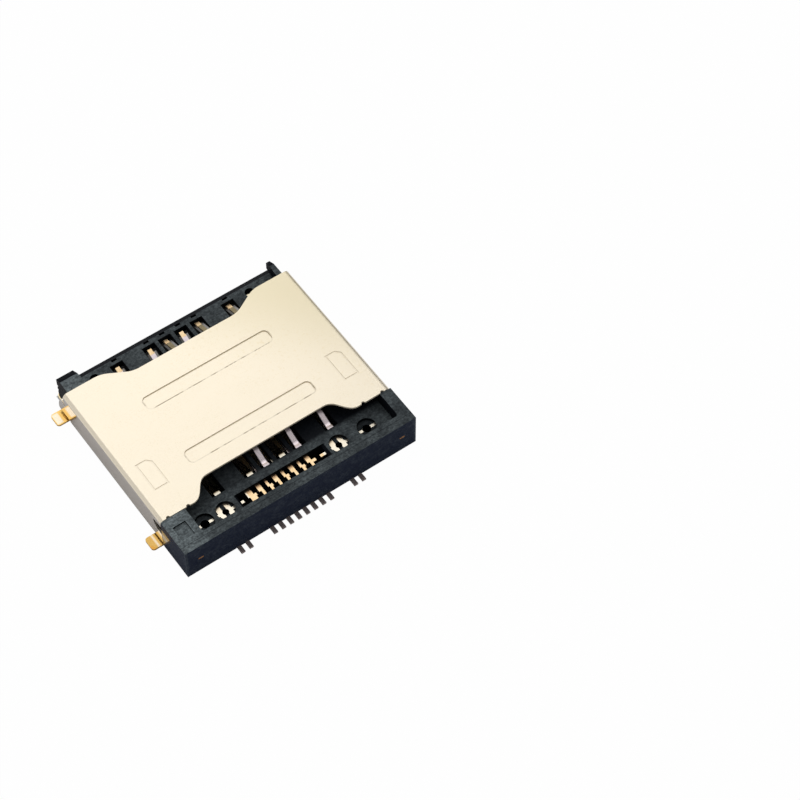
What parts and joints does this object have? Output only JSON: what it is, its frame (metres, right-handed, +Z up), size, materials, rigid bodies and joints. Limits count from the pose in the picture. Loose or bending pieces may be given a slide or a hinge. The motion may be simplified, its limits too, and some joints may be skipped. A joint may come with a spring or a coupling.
{
  "type": "stacked card socket",
  "caption": "Flat board-mount socket that stacks two small contact cards: black moulding, folded metal shell, spring contacts with solder tails at the rear, hold-down feet at the sides.",
  "frame": {"origin": "centre of the overall box in plan, on the board surface that the feet and the tails are soldered to", "axes": "+X along the row of tails, +Y from the tails to the mouth where the cards go in, +Z up from the board"},
  "size_m": [0.0196, 0.0176, 0.0029],
  "materials": {
    "housing_plastic": "moulded black glass-filled plastic with a fine grey speckle",
    "shell_metal": "satin pale nickel plate",
    "contact_metal": "pale plated spring metal",
    "foot_metal": "gold-coloured plate"
  },
  "bodies": {
    "root": {"housing": "housing_plastic", "shell": "shell_metal", "upper_contact_c1": "contact_metal", "upper_contact_c2": "contact_metal", "upper_contact_c3": "contact_metal", "upper_contact_c5": "contact_metal", "upper_contact_c6": "contact_metal", "upper_contact_c7": "contact_metal", "lower_contact_c1": "contact_metal", "lower_contact_c2": "contact_metal", "lower_contact_c3": "contact_metal", "lower_contact_c5": "contact_metal", "lower_contact_c6": "contact_metal", "lower_contact_c7": "contact_metal", "hold_down_rear_left": "foot_metal", "hold_down_rear_right": "foot_metal", "hold_down_front_left": "foot_metal", "hold_down_front_right": "foot_metal", "frame_link_left": "contact_metal", "frame_link_right": "contact_metal"}
  },
  "joints": []
}
